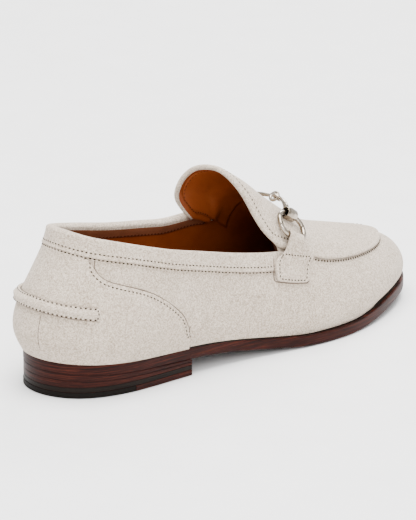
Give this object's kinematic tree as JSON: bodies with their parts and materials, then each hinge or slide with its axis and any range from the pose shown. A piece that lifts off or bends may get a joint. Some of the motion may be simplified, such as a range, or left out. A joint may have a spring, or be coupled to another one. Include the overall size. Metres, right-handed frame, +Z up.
{
  "type": "bit loafer",
  "caption": "Right slip-on loafer in pale suede with a raised tongue, collar band, counter, linked metal bit on strap tabs, thin leather sole and low stacked heel.",
  "frame": {"origin": "middle of the shoe's box, on the floor that it stands on", "axes": "+Y towards the toe, +X to the outer side of the foot, +Z up"},
  "size_m": [0.0872, 0.274, 0.1002],
  "materials": {
    "suede": "matt nap",
    "lining": "smooth",
    "sole_leather": "waxed edge",
    "heel_leather": "waxed edge",
    "dark_leather": "waxed edge",
    "rubber": "matt",
    "bit_metal": "polished"
  },
  "bodies": {
    "root": {"outsole": "sole_leather", "insole": "lining", "heel_rubber": "rubber", "heel_leather_front": "heel_leather", "heel_dark_lift": "dark_leather", "heel_lift_1": "heel_leather", "heel_lift_2": "heel_leather", "upper": "suede", "collar_band": "suede", "counter": "suede", "heel_band": "suede", "apron": "suede", "strap_outer": "suede", "strap_inner": "suede", "bit_ring_outer": "bit_metal", "bit_ring_inner": "bit_metal", "bit_link_outer": "bit_metal", "bit_link_inner": "bit_metal"}
  },
  "joints": []
}
